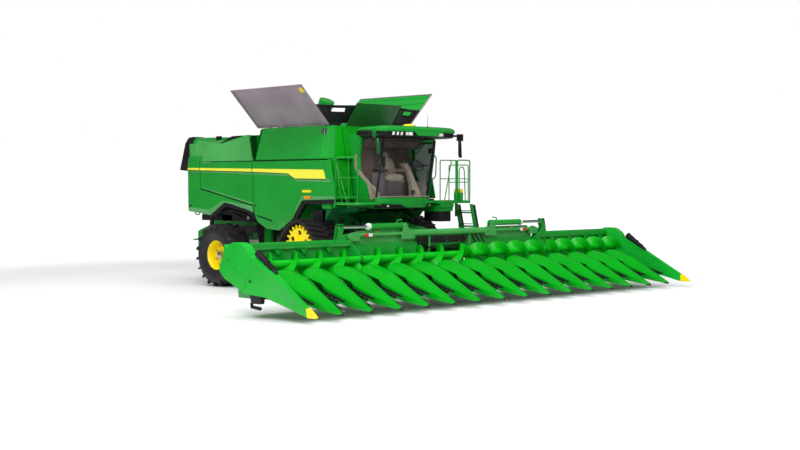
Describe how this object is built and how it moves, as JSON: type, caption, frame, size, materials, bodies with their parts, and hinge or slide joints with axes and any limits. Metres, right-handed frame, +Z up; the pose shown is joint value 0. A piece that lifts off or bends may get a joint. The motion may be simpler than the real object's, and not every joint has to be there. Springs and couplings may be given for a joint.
{
  "type": "tracked combine harvester with corn header",
  "caption": "Self-propelled grain harvester on rubber front tracks and steered rear wheels, with a folding corn header, open grain tank, cab and swinging unloading auger.",
  "frame": {"origin": "on the ground under the middle of the machine's overall length and width, header down and unloading auger folded", "axes": "+X to the machine's left, +Y to the rear, +Z up; the machine drives towards -Y"},
  "size_m": [12.23, 15.14, 4.832],
  "materials": {
    "green": "glossy",
    "green_plastic": "glossy",
    "yellow": "glossy",
    "charcoal": "satin",
    "black": "satin",
    "chrome": "polished",
    "iron": "satin",
    "glass": "polished",
    "rubber": "matte",
    "tyre": "matte",
    "trim": "matte"
  },
  "bodies": {
    "machine": {"chassis_frame": "iron", "engine_block": "iron", "separator_body": "green", "grain_tank": "green", "rear_hood": "green", "rear_side_panels": "green", "arch_trims": "black", "front_axle": "green", "track_belts": "rubber", "track_frames": "charcoal", "track_wheels": "yellow", "rear_axle": "green", "cab_shell": "green", "cab_glass": "glass", "cab_roof": "green", "cab_interior": "trim", "mirrors": "black", "left_platform": "green", "right_platform": "green", "straw_chopper": "green", "tailboard": "green", "auger_turret": "green", "tank_gussets": "rubber"},
    "feeder": {"feeder_house": "green", "header_center_frame": "green", "header_center_rows": "green_plastic", "fold_barrels": "green"},
    "header_left_wing": {"header_left_frame": "green", "header_left_rows": "green_plastic"},
    "header_right_wing": {"header_right_frame": "green", "header_right_rows": "green_plastic"},
    "auger_center": {"header_center_auger": "green"},
    "auger_left": {"header_left_auger": "green"},
    "auger_right": {"header_right_auger": "green"},
    "fold_rod_left": {"fold_rod_left": "chrome"},
    "fold_rod_right": {"fold_rod_right": "chrome"},
    "lift_barrels": {"lift_barrels": "iron"},
    "lift_rods": {"lift_rods": "chrome"},
    "knuckle_right": {"steering_knuckle_right": "green"},
    "knuckle_left": {"steering_knuckle_left": "green"},
    "tie_rod": {"tie_rod": "iron"},
    "rear_wheel_right": {"rear_rim_right": "yellow", "rear_tyre_right": "tyre"},
    "rear_wheel_left": {"rear_rim_left": "yellow", "rear_tyre_left": "tyre"},
    "unloading_auger": {"unloading_auger": "green", "auger_spout": "rubber"},
    "tank_cover_right": {"tank_cover_right": "charcoal"},
    "tank_cover_left": {"tank_cover_left": "charcoal"},
    "tank_flap_front": {"tank_flap_front": "charcoal"},
    "tank_flap_rear": {"tank_flap_rear": "charcoal"},
    "fill_auger": {"fill_auger": "green"},
    "cab_door": {"cab_door": "glass"},
    "ladder": {"ladder": "green"},
    "side_door_front_right": {"side_door_front_right": "green"},
    "side_door_front_left": {"side_door_front_left": "green"},
    "side_door_rear_right": {"side_door_rear_right": "green"},
    "side_door_rear_left": {"side_door_rear_left": "green"}
  },
  "joints": [
    {"name": "feeder_lift", "type": "hinge", "parent": "machine", "child": "feeder", "pos_m": [0, -2.83, 1.5], "axis": [-1, 0, 0], "range_deg": [-1.5, 14]},
    {"name": "lift_barrel_tilt", "type": "hinge", "parent": "machine", "child": "lift_barrels", "pos_m": [0, -2.48, 0.64], "axis": [-1, 0, 0], "range_deg": [-2, 11.5]},
    {"name": "lift_rod_slide", "type": "slide", "parent": "lift_barrels", "child": "lift_rods", "axis": [0, -0.9993, 0.0375], "range_m": [-0.03, 0.21]},
    {"name": "header_left_fold", "type": "hinge", "parent": "feeder", "child": "header_left_wing", "pos_m": [3.04, -5.11, 1.45], "axis": [0, -1, 0], "range_deg": [0, 100]},
    {"name": "header_right_fold", "type": "hinge", "parent": "feeder", "child": "header_right_wing", "pos_m": [-3.04, -5.11, 1.45], "axis": [0, 1, 0], "range_deg": [0, 100]},
    {"name": "fold_rod_left_slide", "type": "slide", "parent": "feeder", "child": "fold_rod_left", "axis": [1, 0, 0], "range_m": [-0.51, 0.01]},
    {"name": "fold_rod_right_slide", "type": "slide", "parent": "feeder", "child": "fold_rod_right", "axis": [-1, 0, 0], "range_m": [-0.51, 0.01]},
    {"name": "auger_center_spin", "type": "hinge", "parent": "feeder", "child": "auger_center", "pos_m": [0, -5.44, 0.985], "axis": [1, 0, 0], "continuous": true},
    {"name": "auger_left_spin", "type": "hinge", "parent": "header_left_wing", "child": "auger_left", "pos_m": [4.4, -5.44, 0.985], "axis": [1, 0, 0], "continuous": true},
    {"name": "auger_right_spin", "type": "hinge", "parent": "header_right_wing", "child": "auger_right", "pos_m": [-4.4, -5.44, 0.985], "axis": [1, 0, 0], "continuous": true},
    {"name": "steer_right", "type": "hinge", "parent": "machine", "child": "knuckle_right", "pos_m": [-1.16, 0.92, 0.785], "axis": [0, 0, 1], "range_deg": [-25, 25]},
    {"name": "steer_left", "type": "hinge", "parent": "machine", "child": "knuckle_left", "pos_m": [1.16, 0.92, 0.785], "axis": [0, 0, 1], "range_deg": [-25, 25]},
    {"name": "tie_rod_swing", "type": "hinge", "parent": "knuckle_right", "child": "tie_rod", "pos_m": [-1.16, 1.155, 0.785], "axis": [0, 0, 1], "range_deg": [-25, 25]},
    {"name": "rear_wheel_right_spin", "type": "hinge", "parent": "knuckle_right", "child": "rear_wheel_right", "pos_m": [-1.75, 0.92, 0.785], "axis": [1, 0, 0], "continuous": true},
    {"name": "rear_wheel_left_spin", "type": "hinge", "parent": "knuckle_left", "child": "rear_wheel_left", "pos_m": [1.75, 0.92, 0.785], "axis": [1, 0, 0], "continuous": true},
    {"name": "unloading_auger_swing", "type": "hinge", "parent": "machine", "child": "unloading_auger", "pos_m": [1.73, -2.38, 3.64], "axis": [0, 0, -1], "range_deg": [0, 105]},
    {"name": "tank_cover_right_fold", "type": "hinge", "parent": "machine", "child": "tank_cover_right", "pos_m": [-1.285, -1.205, 3.94], "axis": [0, 1, 0], "range_deg": [0, 128], "deforming": ["tank_gussets"]},
    {"name": "tank_cover_left_fold", "type": "hinge", "parent": "machine", "child": "tank_cover_left", "pos_m": [1.285, -1.205, 3.94], "axis": [0, -1, 0], "range_deg": [0, 128]},
    {"name": "tank_flap_front_fold", "type": "hinge", "parent": "machine", "child": "tank_flap_front", "pos_m": [0, -2.47452, 3.905], "axis": [-1, 0, 0], "range_deg": [0, 126]},
    {"name": "tank_flap_rear_fold", "type": "hinge", "parent": "machine", "child": "tank_flap_rear", "pos_m": [0, 0.0587, 3.905], "axis": [1, 0, 0], "range_deg": [0, 126]},
    {"name": "fill_auger_fold", "type": "hinge", "parent": "machine", "child": "fill_auger", "pos_m": [0, -0.33, 3.29], "axis": [1, 0, 0], "range_deg": [0, 55]},
    {"name": "cab_door_swing", "type": "hinge", "parent": "machine", "child": "cab_door", "pos_m": [0.9, -2.92, 2.9], "axis": [0, 0, 1], "range_deg": [0, 75]},
    {"name": "ladder_swing", "type": "hinge", "parent": "machine", "child": "ladder", "pos_m": [2, -3.5, 1.9], "axis": [0, 0, -1], "range_deg": [0, 85]},
    {"name": "side_door_front_right_lift", "type": "hinge", "parent": "machine", "child": "side_door_front_right", "pos_m": [-1.67, -1.52, 3.12], "axis": [0, 1, 0], "range_deg": [0, 80]},
    {"name": "side_door_rear_right_lift", "type": "hinge", "parent": "machine", "child": "side_door_rear_right", "pos_m": [-1.67, 0.98, 3.12], "axis": [0, 1, 0], "range_deg": [0, 80]},
    {"name": "side_door_front_left_lift", "type": "hinge", "parent": "machine", "child": "side_door_front_left", "pos_m": [1.67, -1.52, 3.12], "axis": [0, -1, 0], "range_deg": [0, 80]},
    {"name": "side_door_rear_left_lift", "type": "hinge", "parent": "machine", "child": "side_door_rear_left", "pos_m": [1.67, 0.98, 3.12], "axis": [0, -1, 0], "range_deg": [0, 80]}
  ],
  "couplings": [
    {"joint": "lift_barrel_tilt", "follows": "feeder_lift", "ratio": 0.732},
    {"joint": "lift_rod_slide", "follows": "feeder_lift", "m_per_rad": 0.806},
    {"joint": "fold_rod_left_slide", "follows": "header_left_fold", "m_per_rad": -0.2876},
    {"joint": "fold_rod_right_slide", "follows": "header_right_fold", "m_per_rad": -0.2876},
    {"joint": "steer_left", "follows": "steer_right", "ratio": 1},
    {"joint": "tie_rod_swing", "follows": "steer_right", "ratio": -1},
    {"joint": "tank_cover_left_fold", "follows": "tank_cover_right_fold", "ratio": 1},
    {"joint": "tank_flap_front_fold", "follows": "tank_cover_right_fold", "ratio": 0.98438},
    {"joint": "tank_flap_rear_fold", "follows": "tank_cover_right_fold", "ratio": 0.98438},
    {"joint": "fill_auger_fold", "follows": "tank_cover_right_fold", "ratio": 0.42969}
  ]
}
